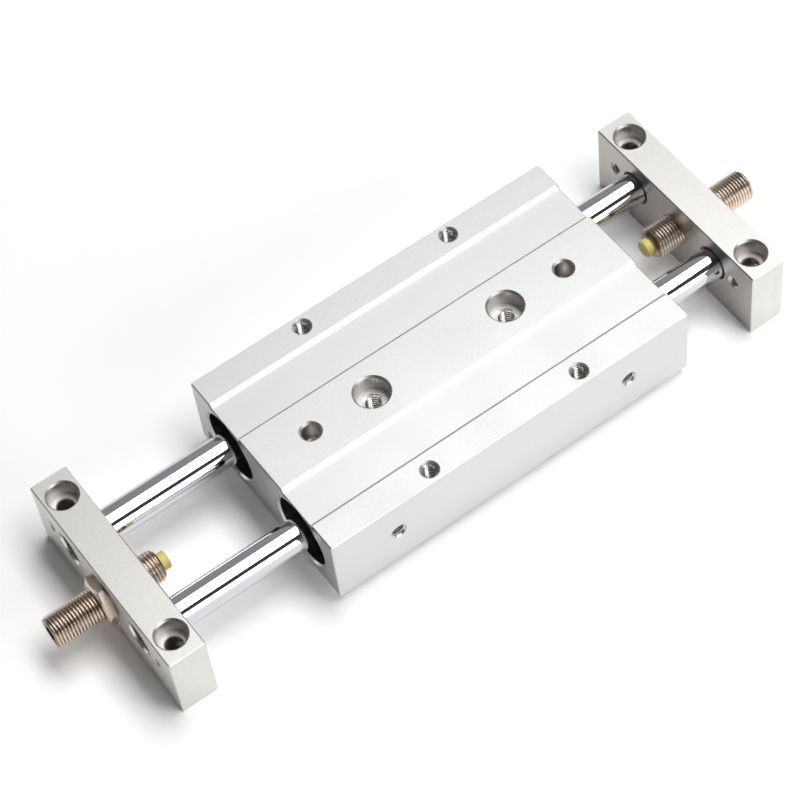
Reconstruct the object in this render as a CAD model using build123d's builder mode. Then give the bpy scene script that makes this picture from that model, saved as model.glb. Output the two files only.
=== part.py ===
from build123d import *
from math import radians, tan
import os

# Twin-rod pneumatic slide table. Two end plates are joined by two fixed rods, and a
# housing with two bores slides along them: each rod carries a piston that never moves,
# so air let in at one end of the housing pushes the housing, and what is bolted on it.
# Millimetres. X runs along the rods, Z is up, Y = 0 is the mid plane. The plates rest
# on Z = 0, and X = 0 is midway between them. Left is -X, near is -Y (the ports' side).

# Guide rods
rod_pitch = 36.0
rod_diameter = 10.0
rod_axis_height = 16.0
rod_end_chamfer = 0.5

# End plates
plate_span = 189.2
plate_thickness = 11.8
plate_width = 72.0
plate_height = 26.0
rod_seat_depth = 4.4
rod_relief_diameter = 11.3
rod_relief_depth = 2.0
plate_bolt_pitch = 56.0
plate_bolt_hole = 5.2
plate_bolt_counterbore = 8.9
plate_bolt_counterbore_depth = 5.5
plate_tapped_pitch = 55.0
plate_tapped_diameter = 4.0

# Cap screws that hold the rods in the plates
rod_screw_diameter = 5.0
rod_screw_length = 12.0
rod_screw_head_diameter = 8.5
rod_screw_head_height = 3.5
rod_screw_socket_flats = 3.0
rod_screw_socket_depth = 2.0
rod_screw_socket_turn = 30.0
rod_screw_clear_hole = 5.5
rod_screw_counterbore = 9.5
rod_screw_counterbore_depth = 5.5
rod_tapped_depth = 14.0

# Stop screws, their pads and the lock nut
stop_screw_diameter = 10.0
stop_screw_length = 35.8
stop_axis_height = 13.5
left_stop_reach = 6.0
right_stop_reach = 8.9
stop_nose_diameter = 7.8
stop_nose_taper = 1.1
stop_rear_chamfer = 0.6
stop_socket_flats = 5.0
stop_socket_depth = 5.0
stop_pad_diameter = 5.5
stop_pad_reach = 2.6
stop_pad_seat_depth = 6.0
stop_pad_chamfer = 0.3
nut_flats = 14.0
nut_thickness = 3.0
nut_seat_chamfer = 0.6
nut_outer_chamfer = 1.1
nut_chamfer_angle = 30.0
nut_turn = 15.0

# Housing
housing_length = 124.0
housing_width = 70.0
housing_height = 26.0
housing_ground_gap = 3.0
housing_rest_offset = 9.6
groove_floor_width = 12.8
groove_depth = 1.3
bore_diameter = 20.0
recess_diameter = 22.0
recess_chamfer = 0.6
cover_setback = 6.0
top_tap_pitch_x = 52.0
top_tap_pitch_y = 62.0
top_tap_diameter = 5.0
top_tap_depth = 8.0
top_tap_chamfer = 0.45
top_drill_diameter = 4.2
top_drill_depth = 9.5
centre_tap_pitch = 47.0
centre_tap_diameter = 6.0
centre_counterbore = 10.4
centre_counterbore_depth = 5.8
pin_hole_pitch = 89.0
pin_hole_diameter = 5.5
pin_hole_depth = 7.5
pin_hole_chamfer = 0.7
port_pitch = 81.0
port_tap_diameter = 5.0
port_tap_depth = 4.8
port_passage_diameter = 2.6
slot_inner_width = 4.0
slot_depth = 5.9
slot_mouth_width = 2.8
slot_lip = 1.2
slot_corner_radius = 1.2
slot_far_wall = 4.0

# Rod cover at each end of each bore, with what it holds
cover_length = 14.0
cover_lip_thickness = 0.8
cover_lip_gap = 0.5
rod_seal_diameter = 15.0
rod_seal_width = 3.0
rod_seal_groove_width = 0.8
cover_web_thickness = 1.0
bush_outer_diameter = 13.0
cover_ring_width = 2.2
cover_ring_section = 1.3
cover_ring_position = 8.0
retaining_ring_thickness = 1.0
retaining_ring_inner = 19.0
retaining_groove_diameter = 22.8
retaining_groove_width = 1.1
retaining_ring_gap = 6.0
bumper_outer_diameter = 16.0
bumper_thickness = 2.0

# Piston on each rod, with what it holds
piston_length = 30.0
piston_seal_width = 2.4
piston_seal_setback = 4.0
piston_seal_depth = 2.4
piston_seal_lip = 0.7
magnet_width = 5.0
magnet_depth = 2.7
magnet_setback = 0.4
piston_ring_section = 1.5
clip_thickness = 1.0
clip_outer_diameter = 13.0
clip_groove_depth = 0.5
clip_gap = 3.0

# Fits and edges
running_clearance = 0.05
seat_clearance = 0.05
hole_chamfer = 0.3
counterbore_chamfer = 0.6
drill_point_angle = 118.0
edge_break = 0.3

# Places that follow from the sizes
inner_face = plate_span / 2
outer_face = inner_face + plate_thickness
plate_mid = inner_face + plate_thickness / 2
rod_end = inner_face + rod_seat_depth
rod_offset = rod_pitch / 2
housing_half = housing_length / 2
housing_left = housing_rest_offset - housing_half
housing_top = housing_ground_gap + housing_height
housing_mid = housing_ground_gap + housing_height / 2
cover_end = cover_setback + cover_length
slot_axis = housing_width / 2 - slot_far_wall - slot_inner_width / 2
drill_tip_slope = tan(radians(90 - drill_point_angle / 2))

rods = {"near": -rod_offset, "far": rod_offset}
ends = {"left": -1, "right": 1}

os.makedirs("parts", exist_ok=True)


def across(x, y, z, direction=1):
    """Plane square to the rods at a point; its normal points along X, to the side given."""
    return Plane(origin=(x, y, z), x_dir=(0, 1, 0), z_dir=(direction, 0, 0))


def down(x, y, z):
    """Level plane at a point; its normal points down."""
    return Plane(origin=(x, y, z), x_dir=(1, 0, 0), z_dir=(0, 0, -1))


def step(plane, start, length, outer, inner=0.0, mode=Mode.ADD):
    """One turned step of given diameters, from start to start + length along the plane's normal."""
    with BuildSketch(plane.offset(start)) as section:
        Circle(outer / 2)
        if inner:
            Circle(inner / 2, mode=Mode.SUBTRACT)
    extrude(section.sketch, amount=length, mode=mode)


def turned(plane, outline, mode=Mode.ADD):
    """A solid of revolution about the plane's normal, from (radius, distance) points."""
    profile = Plane(origin=plane.origin, x_dir=plane.x_dir, z_dir=plane.y_dir)
    with BuildSketch(profile) as section:
        with BuildLine():
            Polyline([(radius, -distance) for radius, distance in outline], close=True)
        make_face()
    revolve(section.sketch, axis=Axis(plane.origin, plane.z_dir), mode=mode)


def drilled(plane, diameter, depth, rim, bottom="flat"):
    """A hole along the plane's normal, with a bevelled rim. It ends flat, in a drill's cone
    or, where it goes right through, in another bevelled rim."""
    radius = diameter / 2
    bottoms = {
        "flat": [(radius, depth), (0, depth)],
        "cone": [(radius, depth), (0, depth + radius * drill_tip_slope)],
        "rim": [(radius, depth - rim), (radius + rim, depth), (0, depth)],
    }
    turned(plane, [(0, 0), (radius + rim, 0), (radius, rim), *bottoms[bottom]], mode=Mode.SUBTRACT)


def write(piece, name):
    """Label a finished piece and write it."""
    piece.part.label = name
    export_step(piece.part, f"parts/{name}.step")


# End plates: rod seats with a relief at the mouth, counterbores for the cap screws on
# the outer face, the tapped hole of the stop screw, two bolt holes down through the
# plate, and two small tapped holes along X that cross them.
for end, side in ends.items():
    with BuildPart() as plate:
        with BuildSketch(Plane.XY):
            with Locations((side * plate_mid, 0)):
                Rectangle(plate_thickness, plate_width)
        extrude(amount=plate_height)
        chamfer(plate.edges(), length=edge_break)
        for y in rods.values():
            inward = across(side * inner_face, y, rod_axis_height, side)
            step(inward, 0, rod_seat_depth, rod_diameter + 2 * seat_clearance, mode=Mode.SUBTRACT)
            step(inward, 0, rod_relief_depth, rod_relief_diameter, mode=Mode.SUBTRACT)
            step(inward, 0, plate_thickness, rod_screw_clear_hole, mode=Mode.SUBTRACT)
            drilled(across(side * outer_face, y, rod_axis_height, -side), rod_screw_counterbore,
                    rod_screw_counterbore_depth, counterbore_chamfer)
        drilled(across(side * inner_face, 0, stop_axis_height, side),
                stop_screw_diameter + 2 * seat_clearance, plate_thickness, hole_chamfer, "rim")
        for y in (-plate_bolt_pitch / 2, plate_bolt_pitch / 2):
            drilled(down(side * plate_mid, y, plate_height), plate_bolt_counterbore,
                    plate_bolt_counterbore_depth, counterbore_chamfer)
            drilled(down(side * plate_mid, y, plate_height - plate_bolt_counterbore_depth),
                    plate_bolt_hole, plate_height - plate_bolt_counterbore_depth, hole_chamfer, "rim")
        for y in (-plate_tapped_pitch / 2, plate_tapped_pitch / 2):
            drilled(across(side * inner_face, y, rod_axis_height, side), plate_tapped_diameter,
                    plate_thickness, hole_chamfer, "rim")
    write(plate, f"{end}_end_plate")

# Guide rods: ground bar, tapped at both ends, with a groove either side of the piston.
clip_groove_width = clip_thickness + 2 * seat_clearance
for name, y in rods.items():
    with BuildPart() as rod:
        left_end = across(-rod_end, y, rod_axis_height)
        step(left_end, 0, 2 * rod_end, rod_diameter)
        chamfer(rod.edges(), length=rod_end_chamfer)
        for side in ends.values():
            step(across(side * rod_end, y, rod_axis_height, -side), 0, rod_tapped_depth,
                 rod_screw_diameter + 2 * seat_clearance, mode=Mode.SUBTRACT)
            step(across(side * piston_length / 2, y, rod_axis_height, side), 0, clip_groove_width,
                 rod_diameter, rod_diameter - 2 * clip_groove_depth, mode=Mode.SUBTRACT)
    write(rod, f"{name}_guide_rod")

# Cap screws in the plates' outer faces, on the rods' axes.
for end, side in ends.items():
    with BuildPart() as rod_screws:
        for y in rods.values():
            under_head = across(side * (outer_face - rod_screw_counterbore_depth), y,
                                rod_axis_height, side)
            step(under_head, 0, rod_screw_head_height, rod_screw_head_diameter)
            step(under_head, -rod_screw_length, rod_screw_length, rod_screw_diameter)
            head_face = under_head.offset(rod_screw_head_height)
            with BuildSketch(head_face):
                RegularPolygon(rod_screw_socket_flats / 2, 6, major_radius=False,
                               rotation=rod_screw_socket_turn)
            extrude(amount=-rod_screw_socket_depth, mode=Mode.SUBTRACT)
    write(rod_screws, f"{end}_rod_screws")

# Stop screws: threaded bar with a tapered nose that holds a soft pad, and a hexagon
# socket in the rear face. The pad's flat face is what the housing meets.
stop_reaches = {"left": left_stop_reach, "right": right_stop_reach}
for end, side in ends.items():
    nose = side * (inner_face - stop_reaches[end])
    behind_nose = across(nose, 0, stop_axis_height, side)
    with BuildPart() as stop_screw:
        turned(behind_nose, [
            (0, 0),
            (stop_nose_diameter / 2, 0),
            (stop_screw_diameter / 2, stop_nose_taper),
            (stop_screw_diameter / 2, stop_screw_length - stop_rear_chamfer),
            (stop_screw_diameter / 2 - stop_rear_chamfer, stop_screw_length),
            (0, stop_screw_length),
        ])
        step(behind_nose, 0, stop_pad_seat_depth, stop_pad_diameter + 2 * seat_clearance,
             mode=Mode.SUBTRACT)
        with BuildSketch(behind_nose.offset(stop_screw_length)):
            RegularPolygon(stop_socket_flats / 2, 6, major_radius=False)
        extrude(amount=-stop_socket_depth, mode=Mode.SUBTRACT)
    write(stop_screw, f"{end}_stop_screw")

    with BuildPart() as stop_pad:
        step(behind_nose, -stop_pad_reach, stop_pad_reach + stop_pad_seat_depth, stop_pad_diameter)
        pad_face = stop_pad.faces().sort_by(Axis.X)[0 if side > 0 else -1]
        chamfer(pad_face.edges(), length=stop_pad_chamfer)
    write(stop_pad, f"{end}_stop_pad")

# Lock nut: only the left stop screw has one, against the plate's outer face.
with BuildPart() as lock_nut:
    nut_seat = across(-outer_face, 0, stop_axis_height, -1)
    with BuildSketch(nut_seat):
        RegularPolygon(nut_flats / 2, 6, major_radius=False, rotation=nut_turn)
        Circle(stop_screw_diameter / 2 + seat_clearance, mode=Mode.SUBTRACT)
    extrude(amount=nut_thickness)
    corner_radius = nut_flats / 3 ** 0.5
    chamfer_slope = tan(radians(nut_chamfer_angle))
    turned(nut_seat, [
        (0, 0),
        (corner_radius - nut_seat_chamfer / chamfer_slope, 0),
        (corner_radius, nut_seat_chamfer),
        (corner_radius, nut_thickness - nut_outer_chamfer),
        (corner_radius - nut_outer_chamfer / chamfer_slope, nut_thickness),
        (0, nut_thickness),
    ], mode=Mode.INTERSECT)
write(lock_nut, "left_lock_nut")

# Pistons: each is held on its rod between two clips, seals on two lip rings, and
# carries a magnet ring that a switch in the housing's slot would sense.
seal_floor = bore_diameter - 2 * piston_seal_depth
magnet_floor = bore_diameter - 2 * magnet_depth
piston_outer = bore_diameter - 2 * running_clearance
rod_hole = rod_diameter + 2 * seat_clearance
piston_ring_groove = piston_ring_section + 2 * seat_clearance
for name, y in rods.items():
    mid = across(0, y, rod_axis_height)
    with BuildPart() as piston:
        step(mid, -piston_length / 2, piston_length, piston_outer, rod_hole)
        for side in ends.values():
            seal_start = piston_length / 2 - piston_seal_setback
            step(across(side * seal_start, y, rod_axis_height, -side), 0, piston_seal_width,
                 piston_outer, seal_floor, mode=Mode.SUBTRACT)
        step(mid, -magnet_width / 2, magnet_width, piston_outer, magnet_floor, mode=Mode.SUBTRACT)
        step(mid, piston_seal_setback, piston_ring_groove, rod_diameter + 2 * piston_ring_section,
             mode=Mode.SUBTRACT)
    write(piston, f"{name}_piston")

    with BuildPart() as piston_seals:
        for side in ends.values():
            lip_face = across(side * (piston_length / 2 - piston_seal_setback - seat_clearance), y,
                              rod_axis_height, -side)
            width = piston_seal_width - 2 * seat_clearance
            turned(lip_face, [
                (seal_floor / 2 + seat_clearance, 0),
                (seal_floor / 2 + seat_clearance + piston_seal_lip, 0),
                ((seal_floor + bore_diameter) / 4, width / 2),
                (bore_diameter / 2 - running_clearance - piston_seal_lip, 0),
                (bore_diameter / 2 - running_clearance, 0),
                (bore_diameter / 2 - running_clearance, width / 3),
                (bore_diameter / 2 - running_clearance - piston_seal_lip / 2, width),
                (seal_floor / 2 + seat_clearance, width),
            ])
    write(piston_seals, f"{name}_piston_seals")

    with BuildPart() as magnet:
        step(mid, seat_clearance - magnet_width / 2, magnet_width - 2 * seat_clearance,
             bore_diameter - 2 * magnet_setback, magnet_floor + 2 * seat_clearance)
    write(magnet, f"{name}_piston_magnet")

    with BuildPart() as piston_ring:
        ring_start = piston_seal_setback + seat_clearance
        ring_outer = rod_diameter + 2 * piston_ring_section - 2 * seat_clearance
        step(mid, ring_start, piston_ring_section, ring_outer, rod_hole)
    write(piston_ring, f"{name}_piston_o_ring")

    with BuildPart() as clips:
        for side in ends.values():
            clip_plane = across(side * (piston_length / 2 + seat_clearance), y, rod_axis_height, side)
            with BuildSketch(clip_plane):
                Circle(clip_outer_diameter / 2)
                Circle(rod_diameter / 2 - clip_groove_depth + seat_clearance, mode=Mode.SUBTRACT)
                with Locations((0, clip_outer_diameter / 2)):
                    Rectangle(clip_gap, clip_outer_diameter, mode=Mode.SUBTRACT)
            extrude(amount=clip_thickness)
    write(clips, f"{name}_piston_clips")

# Housing: an extruded bar with a shallow groove over each bore and a switch slot under
# the far one, bored through, recessed at both ends for the rod covers, and drilled.
with BuildPart() as housing:
    with BuildSketch(Plane.YZ.offset(housing_left)):
        with Locations((0, housing_mid)):
            Rectangle(housing_width, housing_height)
        for y in rods.values():
            half_floor = groove_floor_width / 2
            half_top = half_floor + groove_depth
            with BuildLine():
                Polyline(
                    (y - half_top, housing_top),
                    (y - half_floor, housing_top - groove_depth),
                    (y + half_floor, housing_top - groove_depth),
                    (y + half_top, housing_top),
                    close=True,
                )
            make_face(mode=Mode.SUBTRACT)
    extrude(amount=housing_length)
    outer_edges = housing.edges().filter_by(Axis.X).filter_by(
        lambda edge: abs(abs(edge.center().Y) - housing_width / 2) < edge_break)
    chamfer(outer_edges, length=edge_break)
    end_edges = housing.faces().filter_by(Axis.X).edges()
    chamfer(end_edges, length=edge_break)

    # switch slot, open at the underside over its whole length
    with BuildSketch(Plane.YZ.offset(housing_left)):
        with Locations((slot_axis, housing_ground_gap + slot_lip)):
            Rectangle(slot_inner_width, slot_depth - slot_lip, align=(Align.CENTER, Align.MIN))
        slot_top = housing_ground_gap + slot_depth
        fillet(vertices().filter_by(lambda corner: corner.Z > slot_top - slot_lip), slot_corner_radius)
        with Locations((slot_axis, housing_ground_gap)):
            Rectangle(slot_mouth_width, slot_lip, align=(Align.CENTER, Align.MIN))
    extrude(amount=housing_length, mode=Mode.SUBTRACT)

    # bores, recesses and retaining-ring grooves
    for y in rods.values():
        step(across(housing_left, y, rod_axis_height), 0, housing_length, bore_diameter,
             mode=Mode.SUBTRACT)
        for side in ends.values():
            mouth = across(housing_rest_offset + side * housing_half, y, rod_axis_height, -side)
            drilled(mouth, recess_diameter, cover_end, recess_chamfer)
            step(mouth, cover_setback - retaining_groove_width, retaining_groove_width,
                 retaining_groove_diameter, mode=Mode.SUBTRACT)

    # holes in the top face: pin holes, tapped holes at the four corners, and tapped holes
    # that go right through under their counterbores
    for side in ends.values():
        x = housing_rest_offset + side * pin_hole_pitch / 2
        drilled(down(x, 0, housing_top), pin_hole_diameter, pin_hole_depth, pin_hole_chamfer, "cone")

        x = housing_rest_offset + side * centre_tap_pitch / 2
        drilled(down(x, 0, housing_top), centre_counterbore, centre_counterbore_depth,
                counterbore_chamfer)
        drilled(down(x, 0, housing_top - centre_counterbore_depth), centre_tap_diameter,
                housing_height - centre_counterbore_depth, hole_chamfer, "rim")

        x = housing_rest_offset + side * top_tap_pitch_x / 2
        for y in (-top_tap_pitch_y / 2, top_tap_pitch_y / 2):
            drilled(down(x, y, housing_top), top_tap_diameter, top_tap_depth, top_tap_chamfer)
            drilled(down(x, y, housing_top - top_tap_depth), top_drill_diameter,
                    top_drill_depth - top_tap_depth, (top_tap_diameter - top_drill_diameter) / 2, "cone")

    # air ports in the near face, each drilled on through the web into the far bore
    for side in ends.values():
        port_face = Plane(origin=(housing_rest_offset + side * port_pitch / 2, -housing_width / 2,
                                  rod_axis_height), x_dir=(1, 0, 0), z_dir=(0, 1, 0))
        drilled(port_face, port_tap_diameter, port_tap_depth, hole_chamfer, "cone")
        step(port_face, 0, housing_width / 2 + rod_offset - bore_diameter / 4, port_passage_diameter,
             mode=Mode.SUBTRACT)
write(housing, "housing")

# Rod covers: one at each end of each bore. Depths count inwards from the housing's
# end face: the retaining ring, the cover with seal and bush, and the bumper behind it.
seal_pocket = cover_setback + cover_lip_thickness
bush_start = seal_pocket + rod_seal_width + cover_web_thickness
cover_outer = recess_diameter - 2 * seat_clearance
lip_hole = rod_diameter + 2 * cover_lip_gap
ring_floor = recess_diameter - 2 * cover_ring_section
for end, side in ends.items():
    for name, y in rods.items():
        mouth = across(housing_rest_offset + side * housing_half, y, rod_axis_height, -side)
        prefix = f"{name}_{end}"

        with BuildPart() as cover:
            step(mouth, cover_setback, cover_length, cover_outer, lip_hole)
            step(mouth, seal_pocket, rod_seal_width, rod_seal_diameter, mode=Mode.SUBTRACT)
            step(mouth, bush_start, cover_end - bush_start, bush_outer_diameter, mode=Mode.SUBTRACT)
            step(mouth, cover_setback + cover_ring_position, cover_ring_width, cover_outer,
                 ring_floor - 2 * seat_clearance, mode=Mode.SUBTRACT)
        write(cover, f"{prefix}_rod_cover")

        with BuildPart() as bush:
            step(mouth, bush_start, cover_end - bush_start, bush_outer_diameter - 2 * seat_clearance,
                 rod_diameter + 2 * running_clearance)
        write(bush, f"{prefix}_rod_bush")

        with BuildPart() as rod_seal:
            seal_inner = rod_diameter / 2 + running_clearance
            seal_outer = rod_seal_diameter / 2 - seat_clearance
            width = rod_seal_width - 2 * seat_clearance
            turned(mouth.offset(seal_pocket + seat_clearance), [
                (seal_inner + rod_seal_groove_width / 2, 0),
                (seal_outer, 0),
                (seal_outer, width),
                ((seal_inner + seal_outer + rod_seal_groove_width) / 2, width),
                ((seal_inner + seal_outer) / 2, width / 2),
                ((seal_inner + seal_outer - rod_seal_groove_width) / 2, width),
                (seal_inner, width),
                (seal_inner, width * 2 / 3),
            ])
        write(rod_seal, f"{prefix}_rod_seal")

        with BuildPart() as cover_ring:
            ring_plane = mouth.offset(cover_setback + cover_ring_position + cover_ring_width / 2)
            step(ring_plane, -cover_ring_section / 2, cover_ring_section,
                 recess_diameter - seat_clearance, ring_floor)
        write(cover_ring, f"{prefix}_cover_o_ring")

        with BuildPart() as retaining_ring:
            with BuildSketch(mouth.offset(cover_setback - retaining_ring_thickness)):
                Circle(retaining_groove_diameter / 2 - seat_clearance)
                Circle(retaining_ring_inner / 2, mode=Mode.SUBTRACT)
                with Locations((0, -side * retaining_groove_diameter / 2)):
                    Rectangle(retaining_ring_gap, retaining_groove_diameter / 2, mode=Mode.SUBTRACT)
            extrude(amount=retaining_ring_thickness)
        write(retaining_ring, f"{prefix}_retaining_ring")

        with BuildPart() as bumper:
            step(mouth, cover_end, bumper_thickness, bumper_outer_diameter, lip_hole)
        write(bumper, f"{prefix}_bumper")
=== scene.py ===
# %% [markdown]
# A pneumatic slide table, dressed for its picture. Two end plates hold two chromed rods, and
# a silver housing slides along them between two threaded stop screws. The CAD model already
# has every piece at its true size. This file gives each one its finish, and makes what is too
# fine for the CAD model: the threads, the knurls and the marks that tools leave.

import math

import bmesh
import bpy
from mathutils import Matrix, Vector


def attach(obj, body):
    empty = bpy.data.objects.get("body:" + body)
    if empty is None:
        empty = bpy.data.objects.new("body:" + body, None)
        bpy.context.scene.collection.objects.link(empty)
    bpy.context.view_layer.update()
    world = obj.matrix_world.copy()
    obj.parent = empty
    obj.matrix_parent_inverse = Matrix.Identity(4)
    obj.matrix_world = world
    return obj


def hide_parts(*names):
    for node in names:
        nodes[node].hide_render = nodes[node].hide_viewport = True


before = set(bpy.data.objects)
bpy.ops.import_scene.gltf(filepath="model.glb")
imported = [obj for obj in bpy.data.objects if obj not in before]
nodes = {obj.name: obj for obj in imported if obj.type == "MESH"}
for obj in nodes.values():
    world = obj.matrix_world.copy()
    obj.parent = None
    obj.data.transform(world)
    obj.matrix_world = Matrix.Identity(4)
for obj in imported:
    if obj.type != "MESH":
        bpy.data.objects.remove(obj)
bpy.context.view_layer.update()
mm = 0.001

# %% [markdown]
# Masks and threads have to meet the holes of the CAD model, so the places that they share are
# named once, here. X runs along the rods and Z is up. X = 0 lies midway between the plates,
# and the housing rests a little to the right of it.

# %% Places on the model
rest = 9.6 * mm
top = 29 * mm
rod_height = 16 * mm
rod_offset = 18 * mm
stop_height = 13.5 * mm
centre_hole_x = 23.5 * mm
corner_hole_x = 26 * mm
corner_hole_y = 31 * mm
pin_hole_x = 44.5 * mm
port_x = 40.5 * mm
plate_x = 100.5 * mm
plate_bolt_y = 28 * mm
side_hole_y = 27.5 * mm
plate_outer_face = 106.4 * mm
print("housing's middle at", round(rest / mm, 1), "mm, rods", round(2 * rod_offset / mm, 1),
      "mm apart")

# %% [markdown]
# The camera stands where the photographer stood: above the near long side and to the left.
# Its place was worked out from the corners of the object in the picture. A camera can be
# turned by three angles, but here its axes are built one after the other, because then each
# angle keeps its plain meaning: azimuth, elevation and roll.

# %% The camera
azimuth = math.radians(-28.68)
elevation = math.radians(55.84)
roll = math.radians(-8.56)
focal_pixels = 2674.0
picture_side = 800
eye = Vector((-211.1, -376.1, 648.6)) * mm

level = Vector((math.cos(azimuth), math.sin(azimuth), 0))
back = Vector((math.sin(azimuth) * math.cos(elevation),
               -math.cos(azimuth) * math.cos(elevation), math.sin(elevation)))
upright = back.cross(level)
right = level * math.cos(roll) + upright * math.sin(roll)
up = upright * math.cos(roll) - level * math.sin(roll)

camera_data = bpy.data.cameras.new("camera")
camera_data.lens = focal_pixels / picture_side * camera_data.sensor_width
camera = bpy.data.objects.new("camera", camera_data)
camera.matrix_world = Matrix.Translation(eye) @ Matrix((right, up, back)).transposed().to_4x4()
bpy.context.collection.objects.link(camera)
bpy.context.scene.camera = camera
print("lens", round(camera_data.lens, 1), "mm")

# %% [markdown]
# Node trees are wired in code here, for materials and for geometry alike. A few small helpers
# keep that readable. One adds a node and sets its inputs, each from a number or from another
# node's output. The others are for arithmetic, which both kinds of tree do with like nodes.

# %% Helpers for node trees
def feed(tree, socket, value):
    """Set an input to a constant, or wire it to another node's output."""
    if isinstance(value, bpy.types.NodeSocket):
        tree.links.new(value, socket)
    elif value is not None:
        socket.default_value = value


def add(tree, kind, inputs=None, **settings):
    """Add a node with its settings and inputs, and return it."""
    made = tree.nodes.new(kind)
    for name, value in settings.items():
        setattr(made, name, value)
    for name, value in (inputs or {}).items():
        feed(tree, made.inputs[name], value)
    return made


def calc(tree, operation, *values):
    """One step of arithmetic; returns the output."""
    made = tree.nodes.new("ShaderNodeMath")
    made.operation = operation
    for socket, value in zip(made.inputs, values):
        feed(tree, socket, value)
    return made.outputs[0]


def weighted(tree, first, *others):
    """The sum of pairs, each a value times its weight."""
    share = calc(tree, "MULTIPLY", *first)
    return calc(tree, "ADD", share, weighted(tree, *others)) if others else share


def parts_of(tree, vector):
    """The X, Y and Z of a vector."""
    return add(tree, "ShaderNodeSeparateXYZ", {0: vector}).outputs


def flat_length(tree, first, second):
    """The length of a flat vector, from its two parts."""
    return calc(tree, "SQRT", weighted(tree, (first, first), (second, second)))


def spread(tree, value, low, high, start=0.3, end=0.7):
    """Stretch values from start..end to low..high."""
    made = add(tree, "ShaderNodeMapRange", {"Value": value, "From Min": start, "From Max": end,
                                            "To Min": low, "To Max": high})
    return made.outputs["Result"]


# %% [markdown]
# The floor is a plain white sheet, and a product photograph is lit by large soft boxes. One
# hangs high, well to the right, so the shadows are deep at the left of each piece and fade
# out softly. A second stands low at the near side. The room beyond is dim, and dimmest at the
# near side and the left. That dim gap between the two boxes is what draws the dark line along
# each chromed rod, so the room's grey is blended by direction: it depends on where a ray goes,
# not on the camera. The paper itself is brighter for rays that show it, to the eye or in a
# mirror, so that the open floor is pure white while it still keeps every shadow.

# %% Floor, lamps and room
floor_half = 3.0
floor_grey = 0.6
floor_shown = 1.55
floor_mirrored = 1.2
far_grey = 0.28
near_grey = 0.05
left_share = 0.22
# the parts of a ray's direction, along Y and along X, over which the room's grey changes
far_band = (-0.3, 0.2)
right_band = (-0.5, 0.2)
white = (1, 1, 1, 1)

floor_corners = [(-floor_half, -floor_half, 0), (floor_half, -floor_half, 0),
                 (floor_half, floor_half, 0), (-floor_half, floor_half, 0)]
floor_mesh = bpy.data.meshes.new("floor")
floor_mesh.from_pydata(floor_corners, [], [(0, 1, 2, 3)])
floor = bpy.data.objects.new("floor", floor_mesh)
bpy.context.collection.objects.link(floor)

floor_paper = bpy.data.materials.new("floor_paper")
floor_paper.use_nodes = True
tree = floor_paper.node_tree
tree.nodes.clear()
light_path = add(tree, "ShaderNodeLightPath")
mirrored = calc(tree, "MAXIMUM", light_path.outputs["Is Glossy Ray"],
                light_path.outputs["Is Transmission Ray"])
for_eye = calc(tree, "MULTIPLY", light_path.outputs["Is Camera Ray"], floor_shown - floor_grey)
for_mirrors = calc(tree, "MULTIPLY", mirrored, floor_mirrored - floor_grey)
paper_grey = calc(tree, "ADD", for_eye, calc(tree, "ADD", for_mirrors, floor_grey))
paper = add(tree, "ShaderNodeBsdfDiffuse", {"Color": paper_grey})
add(tree, "ShaderNodeOutputMaterial", {"Surface": paper.outputs[0]})
floor_mesh.materials.append(floor_paper)

world = bpy.data.worlds.new("room")
world.use_nodes = True
bpy.context.scene.world = world
tree = world.node_tree
tree.nodes.clear()
light_path = add(tree, "ShaderNodeLightPath")
direction = parts_of(tree, add(tree, "ShaderNodeTexCoord").outputs["Generated"])
towards_far = spread(tree, direction[1], near_grey, far_grey, *far_band)
towards_right = spread(tree, direction[0], left_share, 1.0, *right_band)
room_grey = calc(tree, "MULTIPLY", towards_far, towards_right)
room = add(tree, "ShaderNodeBackground", {"Color": white, "Strength": room_grey})
backdrop = add(tree, "ShaderNodeBackground", {"Color": white, "Strength": 1.0})
either = add(tree, "ShaderNodeMixShader", {0: light_path.outputs["Is Camera Ray"],
                                           1: room.outputs[0], 2: backdrop.outputs[0]})
add(tree, "ShaderNodeOutputWorld", {"Surface": either.outputs[0]})


def soft_box(name, place, aim, width, height, radiance):
    """A rectangular lamp at a place, facing a point; radiance is its brightness when looked at."""
    data = bpy.data.lights.new(name, "AREA")
    data.shape = "RECTANGLE"
    data.size = width
    data.size_y = height
    data.energy = radiance * math.pi * width * height
    lamp = bpy.data.objects.new(name, data)
    lamp.location = place
    lamp.rotation_euler = (Vector(aim) - Vector(place)).to_track_quat("-Z", "Y").to_euler()
    lamp.visible_camera = False
    bpy.context.collection.objects.link(lamp)


soft_box("overhead_box", place=(0.535, -0.16, 1.8), aim=(0.535, -0.16, 0), width=0.73,
         height=1.84, radiance=5.2)
soft_box("near_box", place=(0.33, -0.95, 0.36), aim=(0.33, 0, 0.36), width=1.0,
         height=0.62, radiance=2.3)
bpy.context.scene.view_settings.view_transform = "Standard"
print("two soft boxes, room grey from", near_grey, "to", far_grey)

# %% [markdown]
# Finishes come next. Almost everything here is metal, and metals differ less in colour than
# in how their surface was worked: blasted, ground, turned, chromed or plated. So one helper
# starts a material from its even values, which are set on the shader itself, and others add
# what varies over the surface. Every pattern reads Object coordinates, in metres.

# %% Helpers for finishes
def finish(name, colour, metallic, roughness, **more):
    """Start a material and return it with its tree and shader."""
    material = bpy.data.materials.new(name)
    material.use_nodes = True
    tree = material.node_tree
    shader = tree.nodes["Principled BSDF"]
    shader.inputs["Base Color"].default_value = (*colour, 1)
    shader.inputs["Metallic"].default_value = metallic
    shader.inputs["Roughness"].default_value = roughness
    for socket, value in more.items():
        shader.inputs[socket.replace("_", " ")].default_value = value
    return material, tree, shader


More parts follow.
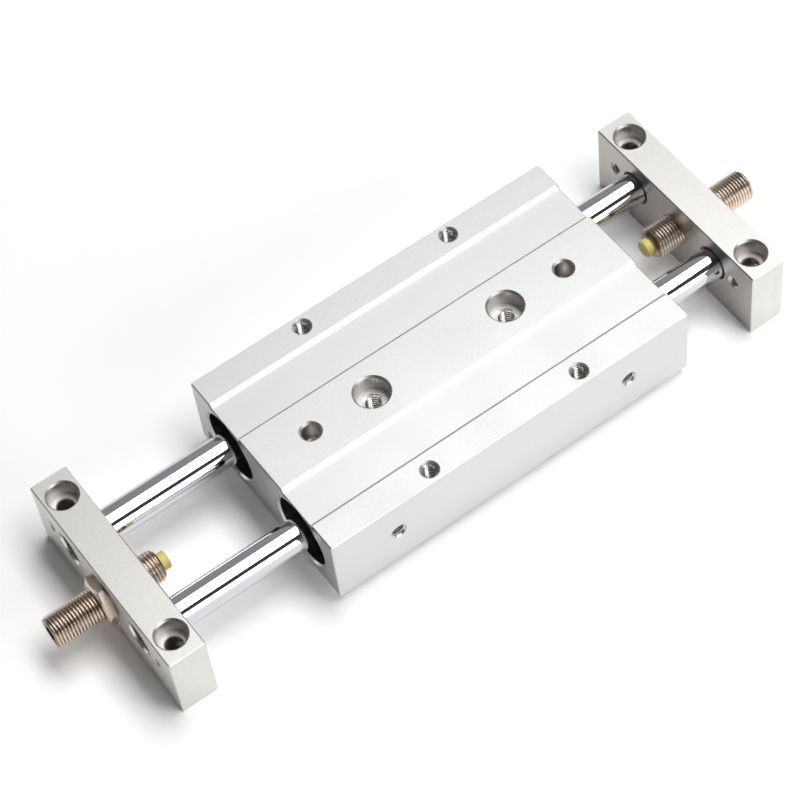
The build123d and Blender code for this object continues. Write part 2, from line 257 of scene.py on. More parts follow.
def place(tree, stretch=(1, 1, 1), centre=(0, 0, 0)):
    """Object coordinates, moved to a centre and then stretched."""
    here = add(tree, "ShaderNodeTexCoord").outputs["Object"]
    moved = add(tree, "ShaderNodeVectorMath", {0: here, 1: centre}, operation="SUBTRACT")
    return add(tree, "ShaderNodeVectorMath", {0: moved.outputs[0], 1: stretch},
               operation="MULTIPLY").outputs[0]


def noise(tree, where, scale, detail=2.0, roughness=0.5):
    """Smooth random values round a half."""
    made = add(tree, "ShaderNodeTexNoise", {"Vector": where, "Scale": scale, "Detail": detail,
                                            "Roughness": roughness})
    return made.outputs["Fac"]


def tint(tree, factor, first, second):
    """Blend two colours by a factor."""
    made = add(tree, "ShaderNodeMix", data_type="RGBA")
    colour_inputs = [socket for socket in made.inputs if socket.type == "RGBA"]
    feed(tree, made.inputs["Factor"], factor)
    for socket, value in zip(colour_inputs, (first, second)):
        feed(tree, socket, value if isinstance(value, bpy.types.NodeSocket) else (*value, 1))
    return [socket for socket in made.outputs if socket.type == "RGBA"][0]


def relief(tree, shader, height, depth, strength=1.0, below=None):
    """A bump of the given depth in metres, on top of another one."""
    made = add(tree, "ShaderNodeBump", {"Height": height, "Distance": depth, "Strength": strength,
                                        "Normal": below})
    feed(tree, shader.inputs["Normal"], made.outputs[0])
    return made.outputs[0]


def vary(tree, shader, pattern, dark, light, smoothest, roughest):
    """Let a shader's colour and roughness follow a pattern."""
    colour = tint(tree, spread(tree, pattern, 0.0, 1.0), dark, light)
    feed(tree, shader.inputs["Base Color"], colour)
    feed(tree, shader.inputs["Roughness"], spread(tree, pattern, smoothest, roughest))


def dress(names, material):
    """Give the named CAD pieces a finish."""
    for name in names:
        for slot in nodes[name].material_slots:
            slot.material = material
    print(material.name, "on", len(names), "pieces")


# %% [markdown]
# The holes were cut after the skin was finished. Inside them the cutter left fine rings, which
# a wave along radius plus height makes: rings on a flat floor, and lines round a wall. A mask
# keeps them to the holes. Like holes share one mask, because each row of them is symmetric
# about a centre.

# %% Cutter rings inside holes
mask_edge = 0.05 * mm
whole_length = (-120 * mm, 120 * mm)
grain_depth = 0.006 * mm
ring_depth = 0.004 * mm
ring_strength = 0.6
floor_dullness = 0.2


def inside_holes(tree, axis, centre, across, along, radius, lowest, highest):
    """The mask of four like holes, or two where along is nothing, and the rings' place in them.

    The holes lie across and along away from a centre, square to an axis; the mask reaches a
    radius from each hole's own axis, from the lowest to the highest place on it.
    """
    spot = parts_of(tree, place(tree, centre=centre))
    first, second = [spot[number] for number in range(3) if number != axis]
    distance = flat_length(tree, calc(tree, "SUBTRACT", calc(tree, "ABSOLUTE", first), across),
                           calc(tree, "SUBTRACT", calc(tree, "ABSOLUTE", second), along))
    within = spread(tree, distance, 1.0, 0.0, radius, radius + mask_edge)
    middle = (lowest + highest) / 2
    level = calc(tree, "COMPARE", spot[axis], middle - centre[axis], (highest - lowest) / 2)
    return calc(tree, "MULTIPLY", within, level), calc(tree, "ADD", distance, spot[axis])


def cutter_rings(tree, holes, pitch):
    """One mask for several sets of holes, and the height of the fine rings in them."""
    sets = [inside_holes(tree, *hole) for hole in holes]
    mask, where = sets[0]
    for next_mask, next_where in sets[1:]:
        where = weighted(tree, (where, mask), (next_where, next_mask))
        mask = calc(tree, "MAXIMUM", mask, next_mask)
    wave = calc(tree, "SINE", calc(tree, "MULTIPLY", where, 2 * math.pi / pitch))
    return mask, calc(tree, "MULTIPLY", wave, mask)


def bevel_ring(tree, centre, across, inner, outer):
    """The mask of the bevels round the rod holes, between two radii."""
    narrow, wide = [inside_holes(tree, 0, centre, across, 0.0, radius, *whole_length)[0]
                    for radius in (inner, outer)]
    return calc(tree, "SUBTRACT", wide, narrow)


def from_middle(tree, centre):
    """The distance along X from a centre."""
    return calc(tree, "ABSOLUTE", parts_of(tree, place(tree, centre=centre))[0])


def tool_marks(tree, shader, roughness, faced, grain, grain_strength, rings):
    """Make faced floors duller, and add a bump of grain with the cutter's rings on top."""
    feed(tree, shader.inputs["Roughness"],
         calc(tree, "ADD", roughness, calc(tree, "MULTIPLY", faced, floor_dullness)))
    below = relief(tree, shader, grain, grain_depth, grain_strength)
    relief(tree, shader, rings, ring_depth, ring_strength, below)


# %% [markdown]
# The housing is extruded aluminium, bead-blasted and then clear anodised: a pale, even silver
# with a very fine grain, and no direction to it. A blasted skin scatters light like paper but
# still is metal, so its roughness is high. Inside the holes the walls are painted darker, as
# painted shade, and the faced floors of the counterbores are painted paler, as painted light,
# and are duller. The bevels at the bores' mouths are the smoothest places, so they glint, and
# the slopes of the two grooves do too. The two end faces are painted darker, with faint lines,
# as painted shade, and are a little sharper in their reflections than the skin. The bores are
# painted a very dark grey, as painted shade inside them.

# %% Blasted aluminium for the housing
housing_middle = (rest, 0, 0)
between_bores = (rest, 0, rod_height)
recess_radius = 11.0 * mm
recess_bevel_radius = 11.65 * mm
end_face = 61.95 * mm
groove_level = top - 0.65 * mm
groove_band = 0.6 * mm
groove_half = 8.5 * mm
hole_gloss = 0.08
glint_gloss = 0.18
end_gloss = 0.12

blasted, tree, shader = finish("blasted_aluminium", (0.86, 0.86, 0.85), 1.0, 0.42)
speckle = noise(tree, place(tree), 2600.0, 2.0, 0.6)
cloud = noise(tree, place(tree), 45.0, 3.0)
silver = tint(tree, spread(tree, speckle, 0.0, 1.0), (0.81, 0.81, 0.80), (0.89, 0.89, 0.88))

# each row: the holes' axis, centre, distance across and along, radius, lowest, highest
housing_holes = [
    (2, housing_middle, centre_hole_x, 0.0, 5.25 * mm, 20 * mm, top),
    (2, housing_middle, corner_hole_x, corner_hole_y, 2.55 * mm, 15 * mm, top),
    (2, housing_middle, pin_hole_x, 0.0, 2.8 * mm, 15 * mm, top),
    (1, between_bores, port_x, 0.0, 2.55 * mm, -35 * mm, -25 * mm),
    (0, between_bores, rod_offset, 0.0, 11.45 * mm, -60 * mm, 80 * mm)]
housing_floors = (2, housing_middle, centre_hole_x, 0.0, 5.15 * mm, 22.6 * mm, 23.3 * mm)
inside, rings = cutter_rings(tree, housing_holes, 0.22 * mm)
faced = inside_holes(tree, *housing_floors)[0]
bevel = bevel_ring(tree, between_bores, rod_offset, recess_radius, recess_bevel_radius)
# painted shade: the bores' walls are coloured a very dark grey
shaded_bore = inside_holes(tree, 0, between_bores, rod_offset, 0.0, recess_radius, *whole_length)[0]
# mask of the two end faces, which carry painted shade and a smoother finish
shaded_end = calc(tree, "GREATER_THAN", from_middle(tree, housing_middle), end_face)
spot = parts_of(tree, place(tree))
at_level = calc(tree, "COMPARE", spot[2], groove_level, groove_band)
at_side = calc(tree, "COMPARE", calc(tree, "ABSOLUTE", spot[1]), rod_offset, groove_half)
slopes = calc(tree, "MULTIPLY", at_level,
              calc(tree, "MULTIPLY", at_side, calc(tree, "SUBTRACT", 1.0, shaded_end)))

# hole interiors: walls painted darker as painted shade, faced floors painted paler as painted
# light
hole_light_and_shade = tint(tree, faced, (0.64, 0.615, 0.60), (0.98, 0.97, 0.95))
# painted shade: the end faces are coloured darker than the skin, with faint lines
end_lines = noise(tree, place(tree, (30, 60, 1500)), 1.0, 2.0)
shaded_face = tint(tree, spread(tree, end_lines, 0.0, 1.0), (0.58, 0.58, 0.58), (0.68, 0.68, 0.68))
skin = tint(tree, shaded_end, silver, shaded_face)
holed = tint(tree, shaded_bore, tint(tree, inside, skin, hole_light_and_shade), (0.15, 0.15, 0.158))
feed(tree, shader.inputs["Base Color"], tint(tree, bevel, holed, (0.92, 0.91, 0.90)))

smoother = weighted(tree, (inside, hole_gloss), (calc(tree, "ADD", bevel, slopes), glint_gloss),
                    (shaded_end, end_gloss))
skin_roughness = calc(tree, "SUBTRACT", spread(tree, cloud, 0.42, 0.50), smoother)
skin_only = calc(tree, "MULTIPLY", speckle, calc(tree, "SUBTRACT", 1.0, slopes))
tool_marks(tree, shader, skin_roughness, faced, skin_only, 0.6, rings)
dress(["housing"], blasted)

# %% [markdown]
# The end plates are sawn from bar and ground, so they are a little warmer than the housing.
# Grinding leaves hair-fine lines: noise stretched a great deal one way makes them. On the
# faces across the rods they stand upright. The inner faces are painted darker and warmer, as
# painted shade. The holes are painted as in the housing: darker walls as painted shade, paler
# faced floors as painted light.

# %% Ground aluminium for the end plates
origin = (0, 0, 0)
between_rods = (0, 0, rod_height)
screw_hole_radius = 4.75 * mm
screw_bevel_radius = 5.4 * mm
inner_face_x = 94.65 * mm
inner_gloss = 0.08

ground, tree, shader = finish("ground_aluminium", (0.90, 0.88, 0.85), 1.0, 0.40)
speckle = noise(tree, place(tree), 2200.0, 2.0, 0.6)
lines = noise(tree, place(tree, (400, 2400, 30)), 1.0, 2.0)
warm = tint(tree, spread(tree, speckle, 0.0, 1.0), (0.87, 0.855, 0.82), (0.95, 0.935, 0.90))
streaked = tint(tree, spread(tree, lines, 0.0, 0.15), warm, (0.66, 0.645, 0.63))

# rows as for the housing
plate_holes = [
    (2, origin, plate_x, plate_bolt_y, 4.5 * mm, 19 * mm, 26 * mm),
    (2, origin, plate_x, plate_bolt_y, 2.65 * mm, 0.0, 21 * mm),
    (0, between_rods, rod_offset, 0.0, 4.8 * mm, -110 * mm, 110 * mm)]
plate_floors = (2, origin, plate_x, plate_bolt_y, 4.4 * mm, 20 * mm, 20.6 * mm)
inside, rings = cutter_rings(tree, plate_holes, 0.2 * mm)
faced = inside_holes(tree, *plate_floors)[0]
bevel = bevel_ring(tree, between_rods, rod_offset, screw_hole_radius, screw_bevel_radius)
inner_face = calc(tree, "LESS_THAN", from_middle(tree, origin), inner_face_x)

# hole interiors: walls painted darker as painted shade, faced floors painted paler as painted
# light
hole_light_and_shade = tint(tree, faced, (0.66, 0.63, 0.60), (0.98, 0.96, 0.93))
# painted shade: the inner faces are coloured darker and warmer than the ground skin
shaded_face = tint(tree, spread(tree, lines, 0.0, 1.0), (0.54, 0.51, 0.485), (0.62, 0.585, 0.555))
skin = tint(tree, inner_face, streaked, shaded_face)
holed = tint(tree, inside, skin, hole_light_and_shade)
feed(tree, shader.inputs["Base Color"], tint(tree, bevel, holed, (0.92, 0.91, 0.89)))

smoother = weighted(tree, (inside, hole_gloss), (bevel, glint_gloss), (inner_face, inner_gloss))
skin_roughness = calc(tree, "SUBTRACT", spread(tree, lines, 0.38, 0.46), smoother)
tool_marks(tree, shader, skin_roughness, faced, speckle, 0.5, rings)
dress(["left_end_plate", "right_end_plate"], ground)

# %% [markdown]
# The rods are ground round and hard-chromed, the brightest finish there is on a machine. The
# mirror stays clear, with only the faintest rings where the grinding wheel passed.

# %% Chrome for the guide rods
chrome, tree, shader = finish("hard_chrome", (0.82, 0.83, 0.87), 1.0, 0.05)
passes = noise(tree, place(tree, (3000, 20, 20)), 1.0, 2.0)
feed(tree, shader.inputs["Roughness"], spread(tree, passes, 0.035, 0.075))
relief(tree, shader, passes, 0.0006 * mm, 0.3)
dress(["near_guide_rod", "far_guide_rod"], chrome)

# %% [markdown]
# The stop screws and the lock nut are plated steel with a warm, coppery cast. Handling dulls
# such a plating in soft patches, so both its colour and its gloss drift a little. The root of
# the thread is painted a darker brown, as painted shade in the valleys: a colour by distance
# from the axis.

# %% Warm plating for the stop screws and the nut
root_reach = 4.5 * mm
crest_reach = 4.8 * mm
plating, tree, shader = finish("warm_plating", (0.88, 0.74, 0.62), 1.0, 0.28)
patches = noise(tree, place(tree), 320.0, 3.0)
clean = tint(tree, spread(tree, patches, 0.0, 1.0), (0.84, 0.70, 0.57), (0.95, 0.82, 0.70))
spot = parts_of(tree, place(tree, centre=(0, 0, stop_height)))
from_axis = flat_length(tree, spot[1], spot[2])
# painted shade: the thread's root is coloured a darker brown than its crest
out_of_root = spread(tree, from_axis, 0.0, 1.0, root_reach, crest_reach)
feed(tree, shader.inputs["Base Color"], tint(tree, out_of_root, (0.36, 0.265, 0.195), clean))
feed(tree, shader.inputs["Roughness"], spread(tree, patches, 0.24, 0.33))
relief(tree, shader, noise(tree, place(tree), 3000.0), 0.003 * mm, 0.4)
dress(["left_lock_nut"], plating)

# %% [markdown]
# The pads are cast urethane, a soft plastic like stiff jelly. A little light travels inside
# it, which subsurface scattering gives, with a radius well under a millimetre here.

# %% Urethane for the pads
urethane, tree, shader = finish("pale_urethane", (0.98, 0.84, 0.27), 0.0, 0.42,
                                Subsurface_Weight=0.25, Subsurface_Scale=0.6 * mm)
haze = noise(tree, place(tree), 500.0, 2.0)
vary(tree, shader, haze, (0.97, 0.80, 0.22), (1.0, 0.87, 0.33), 0.36, 0.5)
relief(tree, shader, noise(tree, place(tree), 1800.0), 0.005 * mm, 0.5)
dress(["left_stop_pad", "right_stop_pad"], urethane)

# %% [markdown]
# What is left are the small pieces of the cylinders, mostly out of sight in the bores: covers
# at the mouths, painted near black as painted shade in the bores' mouths, spring-steel rings,
# bronze bushes, rubber seals and the pistons. Each is one row of a table: its colours, how
# metallic and rough it is, and which way its tool marks run. Turned pieces have fine rings
# along X, and moulded ones an even grain.

# %% Finishes for the small pieces
ends = ("left", "right")
rod_names = ("near", "far")
corners = [f"{rod}_{end}" for rod in rod_names for end in ends]
turned = (2600, 30, 30)
moulded = (900, 900, 900)
small_finishes = [
    # painted shade: the covers at the bores' mouths are coloured near black
    ("dark_anodised", [f"{corner}_rod_cover" for corner in corners],
     (0.11, 0.11, 0.118), (0.17, 0.17, 0.178), 0.6, 0.42, turned),
    ("oiled_spring_steel", [f"{corner}_retaining_ring" for corner in corners]
     + [f"{rod}_piston_clips" for rod in rod_names],
     (0.10, 0.095, 0.09), (0.16, 0.155, 0.15), 1.0, 0.34, moulded),
    ("sintered_bronze", [f"{corner}_rod_bush" for corner in corners],
     (0.42, 0.30, 0.16), (0.56, 0.42, 0.24), 1.0, 0.42, moulded),
    ("nitrile_rubber", [f"{corner}_rod_seal" for corner in corners]
     + [f"{corner}_cover_o_ring" for corner in corners]
     + [f"{rod}_piston_seals" for rod in rod_names]
     + [f"{rod}_piston_o_ring" for rod in rod_names],
     (0.018, 0.018, 0.018), (0.035, 0.035, 0.035), 0.0, 0.52, moulded),
    ("bumper_urethane", [f"{corner}_bumper" for corner in corners],
     (0.30, 0.26, 0.14), (0.38, 0.33, 0.18), 0.0, 0.5, moulded),
    ("turned_aluminium", [f"{rod}_piston" for rod in rod_names],
     (0.70, 0.70, 0.69), (0.82, 0.82, 0.81), 1.0, 0.3, turned),
    ("bonded_magnet", [f"{rod}_piston_magnet" for rod in rod_names],
     (0.05, 0.05, 0.052), (0.09, 0.09, 0.092), 0.3, 0.55, moulded),
]
for name, names, dark, light, metallic, roughness, marks in small_finishes:
    material, tree, shader = finish(name, light, metallic, roughness)
    pattern = noise(tree, place(tree, marks), 1.0, 2.0)
    vary(tree, shader, pattern, dark, light, roughness - 0.05, roughness + 0.05)
    relief(tree, shader, pattern, 0.003 * mm, 0.5)
    dress(names, material)

# %% [markdown]
# Two things in this scene are made by Geometry Nodes. Both trees start with named inputs and
# end alike: what they made becomes real geometry, gets its material and leaves the tree.

# %% Helpers for geometry trees
def geometry_tree(name, inputs):
    """Start a geometry tree; returns it with the outputs that give its named inputs."""
    tree = bpy.data.node_groups.new(name, "GeometryNodeTree")
    tree.interface.new_socket("Geometry", in_out="OUTPUT", socket_type="NodeSocketGeometry")
    for label, kind in inputs.items():
        tree.interface.new_socket(label, in_out="INPUT", socket_type="NodeSocket" + kind)
    return tree, add(tree, "NodeGroupInput").outputs


def give_out(tree, geometry, material):
    """Make geometry real, coat it and send it out of its tree."""
    real = add(tree, "GeometryNodeRealizeInstances", {"Geometry": geometry})
    coated = add(tree, "GeometryNodeSetMaterial", {"Geometry": real.outputs[0],
                                                   "Material": material})
    add(tree, "NodeGroupOutput", {"Geometry": coated.outputs[0]})


# %% [markdown]
# A screw thread is one ridge that winds round a bar. A flat grid is rolled up, with its rows
# set along a helix instead of level. Four rows make one turn: two at the root and two at the
# crest. The crest is drawn wide and shaded round, because a rolled and plated thread shines
# in broad bands with thin dark valleys between. Where the ridge meets a taper, the smaller
# radius wins, which is just how a thread runs out. Inside a tapped hole the same ridge points
# inwards, so one switch turns the formula round.

# %% Geometry nodes for a thread
rows_in_turn = 4
root_share = 0.10
flank_share = 0.30
crest_share = 0.30
end_share = 0.75
row_guard = 0.01
merge_within = 0.001 * mm
thread, size = geometry_tree("thread", {
    "Radius": "Float", "Depth": "Float", "Pitch": "Float", "Length": "Float", "Turns": "Int",
    "Columns": "Int", "Front Radius": "Float", "Front Taper": "Float", "Rear Taper": "Float",
    "Front End": "Float", "Rear End": "Float", "Inside": "Bool", "Material": "Material"})
tree = thread

row_count = calc(tree, "MULTIPLY", size["Turns"], rows_in_turn)
grid = add(tree, "GeometryNodeMeshGrid", {"Size X": 1.0, "Size Y": 1.0, "Vertices X": row_count,
                                          "Vertices Y": size["Columns"]})
spot = parts_of(tree, add(tree, "GeometryNodeInputPosition").outputs[0])
row = calc(tree, "ROUND", calc(tree, "MULTIPLY", calc(tree, "ADD", spot[0], 0.5),
                               calc(tree, "SUBTRACT", row_count, 1.0)))
turn_share = calc(tree, "ADD", spot[1], 0.5)
step = calc(tree, "MODULO", row, float(rows_in_turn))
on_crest = calc(tree, "GREATER_THAN", step, 1.5)
# where the four rows lie in a turn: the root's two edges, then the crest's
phase = weighted(tree, (calc(tree, "MINIMUM", step, 1.0), root_share), (on_crest, flank_share),
                 (calc(tree, "GREATER_THAN", step, 2.5), crest_share))
turn = calc(tree, "FLOOR",
            calc(tree, "DIVIDE", calc(tree, "ADD", row, row_guard), float(rows_in_turn)))
turns_up = calc(tree, "SUBTRACT",
                calc(tree, "ADD", calc(tree, "ADD", turn, phase), turn_share), 2.0)
raw = calc(tree, "MULTIPLY", turns_up, size["Pitch"])
along = calc(tree, "MINIMUM", calc(tree, "MAXIMUM", raw, 0.0), size["Length"])
from_rear = calc(tree, "SUBTRACT", size["Length"], along)
# a bar: cut down to the root between crests, and to the tapers at both ends
valley = calc(tree, "MULTIPLY", size["Depth"], calc(tree, "SUBTRACT", 1.0, on_crest))
front_slope = calc(tree, "DIVIDE", calc(tree, "SUBTRACT", size["Radius"], size["Front Radius"]),
                   size["Front Taper"])
front_limit = calc(tree, "ADD", size["Front Radius"], calc(tree, "MULTIPLY", along, front_slope))
rear_limit = calc(tree, "ADD", calc(tree, "SUBTRACT", size["Radius"], size["Rear Taper"]),
                  from_rear)
bar = calc(tree, "MINIMUM", calc(tree, "SUBTRACT", size["Radius"], valley),
           calc(tree, "MINIMUM", front_limit, rear_limit))
# a hole: the ridge stands in from the wall and fades out at both ends; with a rear taper as
# large as its depth, it ends square there, level with the face
beyond = calc(tree, "GREATER_THAN", raw, size["Length"])
full_ridge = calc(tree, "MULTIPLY", size["Depth"], calc(tree, "MAXIMUM", on_crest, beyond))
ridge = calc(tree, "MINIMUM", full_ridge,
             calc(tree, "MINIMUM", along, calc(tree, "ADD", from_rear, size["Rear Taper"])))
hole = calc(tree, "SUBTRACT", size["Radius"], ridge)
is_bar = calc(tree, "SUBTRACT", 1.0, size["Inside"])
radius = weighted(tree, (hole, size["Inside"]), (bar, is_bar))
# the outermost rows lie flat on the end faces and run to the end radii
before = calc(tree, "LESS_THAN", turns_up, -end_share)
last_turn = calc(tree, "ADD", size["Length"], calc(tree, "MULTIPLY", size["Pitch"], end_share))
after = calc(tree, "GREATER_THAN", raw, last_turn)
between = calc(tree, "SUBTRACT", calc(tree, "SUBTRACT", 1.0, before), after)
radius = weighted(tree, (radius, between), (before, size["Front End"]),
                  (after, size["Rear End"]))
angle = calc(tree, "MULTIPLY", turn_share, 2 * math.pi)
rolled = add(tree, "ShaderNodeCombineXYZ", {
    0: calc(tree, "MULTIPLY", radius, calc(tree, "COSINE", angle)),
    1: calc(tree, "MULTIPLY", radius, calc(tree, "SINE", angle)),
    2: along})
moved = add(tree, "GeometryNodeSetPosition", {"Geometry": grid.outputs["Mesh"],
                                              "Position": rolled.outputs[0]})
closed = add(tree, "GeometryNodeMergeByDistance", {"Geometry": moved.outputs[0],
                                                   "Distance": merge_within})
give_out(tree, closed.outputs[0], size["Material"])
print("thread tree of", len(tree.nodes), "nodes")


# %% [markdown]
# A tree only draws while its modifier is on an object. A piece that is kept has to be a plain
# mesh, so the helper below puts the tree on a stand-in object, sets its sizes by each
# socket's identifier, takes the evaluated mesh and throws the stand-in away. A second helper
# joins meshes, each moved to its place, and cleans the result.

# %% From tree to plain mesh
weld_within = 0.0005 * mm


def grow(tree, **sizes):
    """Run a geometry tree with its sizes and return the plain mesh."""
    stand_in = bpy.data.objects.new("stand_in", bpy.data.meshes.new("stand_in"))
    bpy.context.collection.objects.link(stand_in)
    modifier = stand_in.modifiers.new("nodes", "NODES")
    modifier.node_group = tree
    for item in tree.interface.items_tree:
        wanted = item.name.replace(" ", "_").lower()
        if item.in_out == "INPUT" and wanted in sizes:
            modifier[item.identifier] = sizes[wanted]
    graph = bpy.context.evaluated_depsgraph_get()
    mesh = bpy.data.meshes.new_from_object(stand_in.evaluated_get(graph))
    bpy.data.objects.remove(stand_in)
    mesh.shade_smooth()
    return mesh


def thread_mesh(radius, depth, pitch, length, columns, material, inside, front_radius=0.0,
                front_taper=1.0, rear_taper=0.0, front_end=0.0, rear_end=0.0):
    """One thread along +Z from the origin; lengths in metres."""
    spare_turns = 4
    return grow(thread, radius=radius, depth=depth, pitch=pitch, length=length,
                turns=math.ceil(length / pitch) + spare_turns, columns=columns + 1,
                front_radius=front_radius, front_taper=front_taper, rear_taper=rear_taper,
                front_end=front_end, rear_end=rear_end, inside=inside, material=material)


def piece(name, body, parts, material, smooth_below=50.0, stands_for=()):
    """Join (mesh, matrix) parts into one finished piece that rides on a body."""
    shape = bmesh.new()
    for mesh, matrix in parts:
        copy = mesh.copy()
        copy.transform(matrix)
        shape.from_mesh(copy)
        bpy.data.meshes.remove(copy)
    bmesh.ops.remove_doubles(shape, verts=shape.verts, dist=weld_within)
    bmesh.ops.recalc_face_normals(shape, faces=shape.faces)
    joined = bpy.data.meshes.new(name)
    shape.to_mesh(joined)
    shape.free()
    joined.materials.clear()
    joined.materials.append(material)
    for face in joined.polygons:
        face.material_index = 0
    joined.set_sharp_from_angle(angle=math.radians(smooth_below))
    made = bpy.data.objects.new(name, joined)
    bpy.context.collection.objects.link(made)
    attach(made, body)
    if stands_for:
        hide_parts(*stands_for)
    triangles = sum(len(face.vertices) - 2 for face in joined.polygons)
    print(name, "rides on", body, "with", triangles, "triangles")


def facing(origin, direction):
    """A matrix that turns +Z to a direction and moves to a point."""
    turn = Vector((0, 0, 1)).rotation_difference(Vector(direction)).to_matrix().to_4x4()
    return Matrix.Translation(Vector(origin)) @ turn


# %% [markdown]
# A threaded bar from the tree is open at both ends. The nose is bored for the pad, and the
# rear has a hexagon socket for the key. Both are made by pulling the open rim inwards: each
# pull is a new ring of faces, moved to a new radius and depth. For the socket the radius
# changes with the angle, so that the ring becomes a hexagon. Faces in the end plane are
# shaded flat, and walls smooth.

# %% Closing an end with a hole
level_within = 0.01 * mm


def rim_pull(shape, rim, radius_at, height):
    """Extrude an open rim and move the new ring; returns the new rim's edges."""
    grown = bmesh.ops.extrude_edge_only(shape, edges=rim)["geom"]
    for vertex in [item for item in grown if isinstance(item, bmesh.types.BMVert)]:
        turn = math.atan2(vertex.co.y, vertex.co.x)
        reach = radius_at(turn)
        vertex.co = Vector((reach * math.cos(turn), reach * math.sin(turn), height))
    return [item for item in grown if isinstance(item, bmesh.types.BMEdge)]


def round_hole(radius):
    """The same radius at every angle."""
    return lambda turn: radius


def hexagon(flats):
    """Radius of a hexagon with the given width across flats, by angle."""
    sector = math.pi / 3
    return lambda turn: flats / 2 / math.cos(turn % sector - sector / 2)


def close_end(mesh, at, rings):
    """Close the open rim at one height with rings of (radius by angle, height), then a floor."""
    shape = bmesh.new()
    shape.from_mesh(mesh)
    rim = [edge for edge in shape.edges if edge.is_boundary
           and all(abs(vertex.co.z - at) < level_within for vertex in edge.verts)]
    for radius_at, height in rings:
        rim = rim_pull(shape, rim, radius_at, height)
    bmesh.ops.contextual_create(shape, geom=rim)
    for face in shape.faces:
        heights = [vertex.co.z for vertex in face.verts]
        if max(heights) - min(heights) < level_within:
            face.smooth = False
    shape.to_mesh(mesh)
    shape.free()


# %% [markdown]
# The stop screws are M10 with a fine pitch of 1 mm. The nose tapers down to the pad, and the
# thread runs out along the taper. The same mesh serves both ends, mirrored by a half turn
# and not by a mirror, because a mirrored thread would be left-handed.

# %% Stop screws
stop_radius = 5.0 * mm
stop_depth = 0.55 * mm
stop_pitch = 1.0 * mm
stop_length = 35.8 * mm
nose_radius = 3.9 * mm
nose_taper = 1.1 * mm
pad_hole = 2.8 * mm
pad_hole_depth = 6.0 * mm
key_flats = 5.0 * mm
key_depth = 5.0 * mm
stop_nose = {"left": -88.6 * mm, "right": 85.7 * mm}
outward = {"left": (-1, 0, 0), "right": (1, 0, 0)}

stop_mesh = thread_mesh(stop_radius, stop_depth, stop_pitch, stop_length, columns=96,
                        material=plating, inside=False, front_radius=nose_radius,
                        front_taper=nose_taper, rear_taper=0.6 * mm, front_end=pad_hole,
                        rear_end=3.6 * mm)
close_end(stop_mesh, 0.0, [(round_hole(pad_hole), pad_hole_depth)])
close_end(stop_mesh, stop_length, [(hexagon(key_flats), stop_length),
                                   (hexagon(key_flats), stop_length - key_depth)])
for end in ends:
    stand = facing((stop_nose[end], 0, stop_height), outward[end])
    piece(f"{end}_stop_screw_threaded", "base", [(stop_mesh, stand)],
          plating, smooth_below=75.0, stands_for=[f"{end}_stop_screw"])

# %% [markdown]
# Socket cap screws hold the rods. Their heads sit in the counterbores of the outer faces, and
# fine knurls round each head give fingers a grip. The knurls repeat, so they are a second
# small tree: a slim bar, instanced on the points of a circle and then made real.

# %% Geometry nodes for the knurls
knurls, size = geometry_tree("knurls", {
    "Count": "Int", "Ring Radius": "Float", "Bar Radius": "Float", "Bar Length": "Float",
    "Base Height": "Float", "Material": "Material"})
tree = knurls
ring = add(tree, "GeometryNodeMeshCircle", {"Vertices": size["Count"],
                                            "Radius": size["Ring Radius"]})
bar = add(tree, "GeometryNodeMeshCylinder", {"Vertices": 6, "Radius": size["Bar Radius"],
                                             "Depth": size["Bar Length"]})
knurl_height = calc(tree, "ADD", size["Base Height"],
                    calc(tree, "MULTIPLY", size["Bar Length"], 0.5))
lift = add(tree, "ShaderNodeCombineXYZ", {2: knurl_height})
lifted = add(tree, "GeometryNodeTransform", {"Geometry": bar.outputs["Mesh"],
                                             "Translation": lift.outputs[0]})
copies = add(tree, "GeometryNodeInstanceOnPoints", {"Points": ring.outputs[0],
                                                    "Instance": lifted.outputs[0]})
give_out(tree, copies.outputs[0], size["Material"])
print("knurl tree of", len(tree.nodes), "nodes")


# %% [markdown]
# The cap screws are zinc-plated steel. Their thread comes from the first tree, and its rear
# rim is pulled outwards to the head, over the head's edge and down into the socket.

# %% Cap screws of the rods
zinc, tree, shader = finish("zinc_plated_steel", (0.56, 0.55, 0.52), 1.0, 0.3)
drift = noise(tree, place(tree), 500.0, 3.0)
vary(tree, shader, drift, (0.50, 0.48, 0.45), (0.66, 0.64, 0.60), 0.24, 0.36)
relief(tree, shader, noise(tree, place(tree), 2600.0), 0.003 * mm, 0.4)

head_radius = 4.25 * mm
head_height = 3.5 * mm
head_edge = 0.35 * mm
knurl_size = 0.16 * mm
screw_length = 12.0 * mm
screw_key = 3.0 * mm
screw_key_depth = 2.0 * mm
key_mouth = screw_key / 2 * 1.24
key_mouth_depth = 0.15 * mm
counterbore_depth = 5.5 * mm
shank = thread_mesh(2.5 * mm, 0.49 * mm, 0.8 * mm, screw_length, columns=48, material=zinc,
                    inside=False, front_radius=2.0 * mm, front_taper=0.6 * mm,
                    front_end=0.4 * mm, rear_end=2.6 * mm)
close_end(shank, 0.0, [])
head_top = screw_length + head_height
close_end(shank, screw_length, [
    (round_hole(head_radius - knurl_size), screw_length),
    (round_hole(head_radius - knurl_size), head_top - head_edge),
    (round_hole(head_radius - head_edge), head_top),
    (round_hole(key_mouth), head_top),
    (hexagon(screw_key), head_top - key_mouth_depth),
    (hexagon(screw_key), head_top - screw_key_depth)])
grip = grow(knurls, count=40, ring_radius=head_radius - knurl_size, bar_radius=knurl_size,
            bar_length=2.2 * mm, base_height=screw_length + 0.4 * mm, material=zinc)
screw_tip = plate_outer_face - counterbore_depth - screw_length
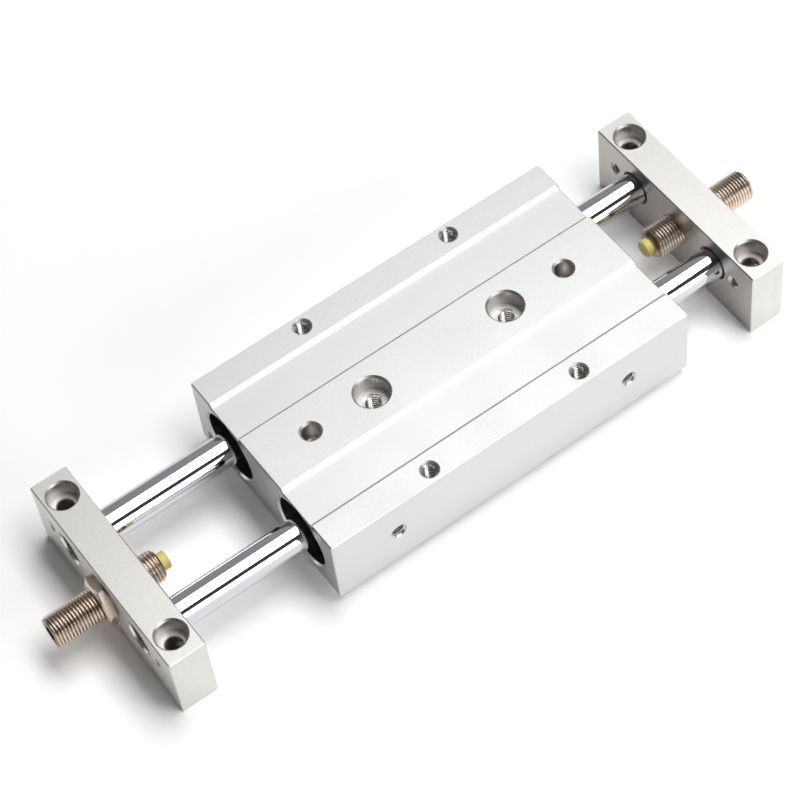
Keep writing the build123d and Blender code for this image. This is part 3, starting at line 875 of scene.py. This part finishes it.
for end in ends:
    side = outward[end][0]
    parts = []
    for y in (-rod_offset, rod_offset):
        stand = facing((side * screw_tip, y, rod_height), outward[end])
        parts += [(shank, stand), (grip, stand)]
    piece(f"{end}_rod_cap_screws", "base", parts, zinc, smooth_below=40.0,
          stands_for=[f"{end}_rod_screws"])

# %% [markdown]
# Tapped holes get their ridge from the same thread tree, turned inwards. The CAD holes are
# as wide as the thread's outer diameter, so a ridge with a thin back, sunk a hair into the
# wall, completes them. All threads of one body are joined into one piece. A tap leaves the
# metal bright, so the flanks that face the light show as a comb of pale lines.

# %% Threads in the tapped holes
tapped_metal, tree, shader = finish("tapped_aluminium", (0.88, 0.87, 0.85), 1.0, 0.24)
tear = noise(tree, place(tree), 900.0, 2.0)
vary(tree, shader, tear, (0.82, 0.81, 0.79), (0.93, 0.92, 0.90), 0.20, 0.30)
relief(tree, shader, tear, 0.004 * mm, 0.5)
sink = 0.03 * mm
wall_gap = 0.01 * mm


def tapped(radius, depth, pitch, length, columns, rim=0.0):
    """A ridge for a tapped hole, closed at the back by a thin wall inside the metal.

    With a rim, the ridge's last turn ends square and fills the hole's bevel of that size.
    """
    mesh = thread_mesh(radius - wall_gap, depth, pitch, length, columns, tapped_metal,
                       inside=True, rear_taper=depth if rim else 0.0, front_end=radius + sink,
                       rear_end=radius + (rim or sink))
    shape = bmesh.new()
    shape.from_mesh(mesh)
    bmesh.ops.bridge_loops(shape, edges=[edge for edge in shape.edges if edge.is_boundary])
    shape.to_mesh(mesh)
    shape.free()
    return mesh


# each thread: radius, depth, pitch
m6 = (3.0 * mm, 0.541 * mm, 1.0 * mm)
m5 = (2.5 * mm, 0.433 * mm, 0.8 * mm)
m4 = (2.0 * mm, 0.379 * mm, 0.7 * mm)
blind_floor = top - 8 * mm
through_floor = 3.35 * mm
port_floor = -30.3 * mm
inner_side_mouth = 94.95 * mm
outer_side_mouth = 106.05 * mm
upwards = (0, 0, 1)
towards_near = (0, -1, 0)
sides = (-1, 1)

blind = tapped(*m5, 7.5 * mm, 48)
through = tapped(*m6, 19.85 * mm, 48, rim=0.3 * mm)
port = tapped(*m5, 4.4 * mm, 40)
housing_parts = [(blind, facing((rest + x * corner_hole_x, y * corner_hole_y, blind_floor),
                                upwards)) for x in sides for y in sides]
housing_parts += [(through, facing((rest + x * centre_hole_x, 0, through_floor), upwards))
                  for x in sides]
housing_parts += [(port, facing((rest + x * port_x, port_floor, rod_height), towards_near))
                  for x in sides]
piece("housing_threads", "table", housing_parts, tapped_metal,
      smooth_below=40.0)

short = tapped(*m4, 2.5 * mm, 36)
plate_parts = []
for side in sides:
    for y in (-side_hole_y, side_hole_y):
        for mouth_x, inwards in ((inner_side_mouth, side), (outer_side_mouth, -side)):
            stand = facing((side * mouth_x, y, rod_height), (inwards, 0, 0))
            plate_parts.append((short, stand))
piece("plate_threads", "base", plate_parts, tapped_metal,
      smooth_below=40.0)
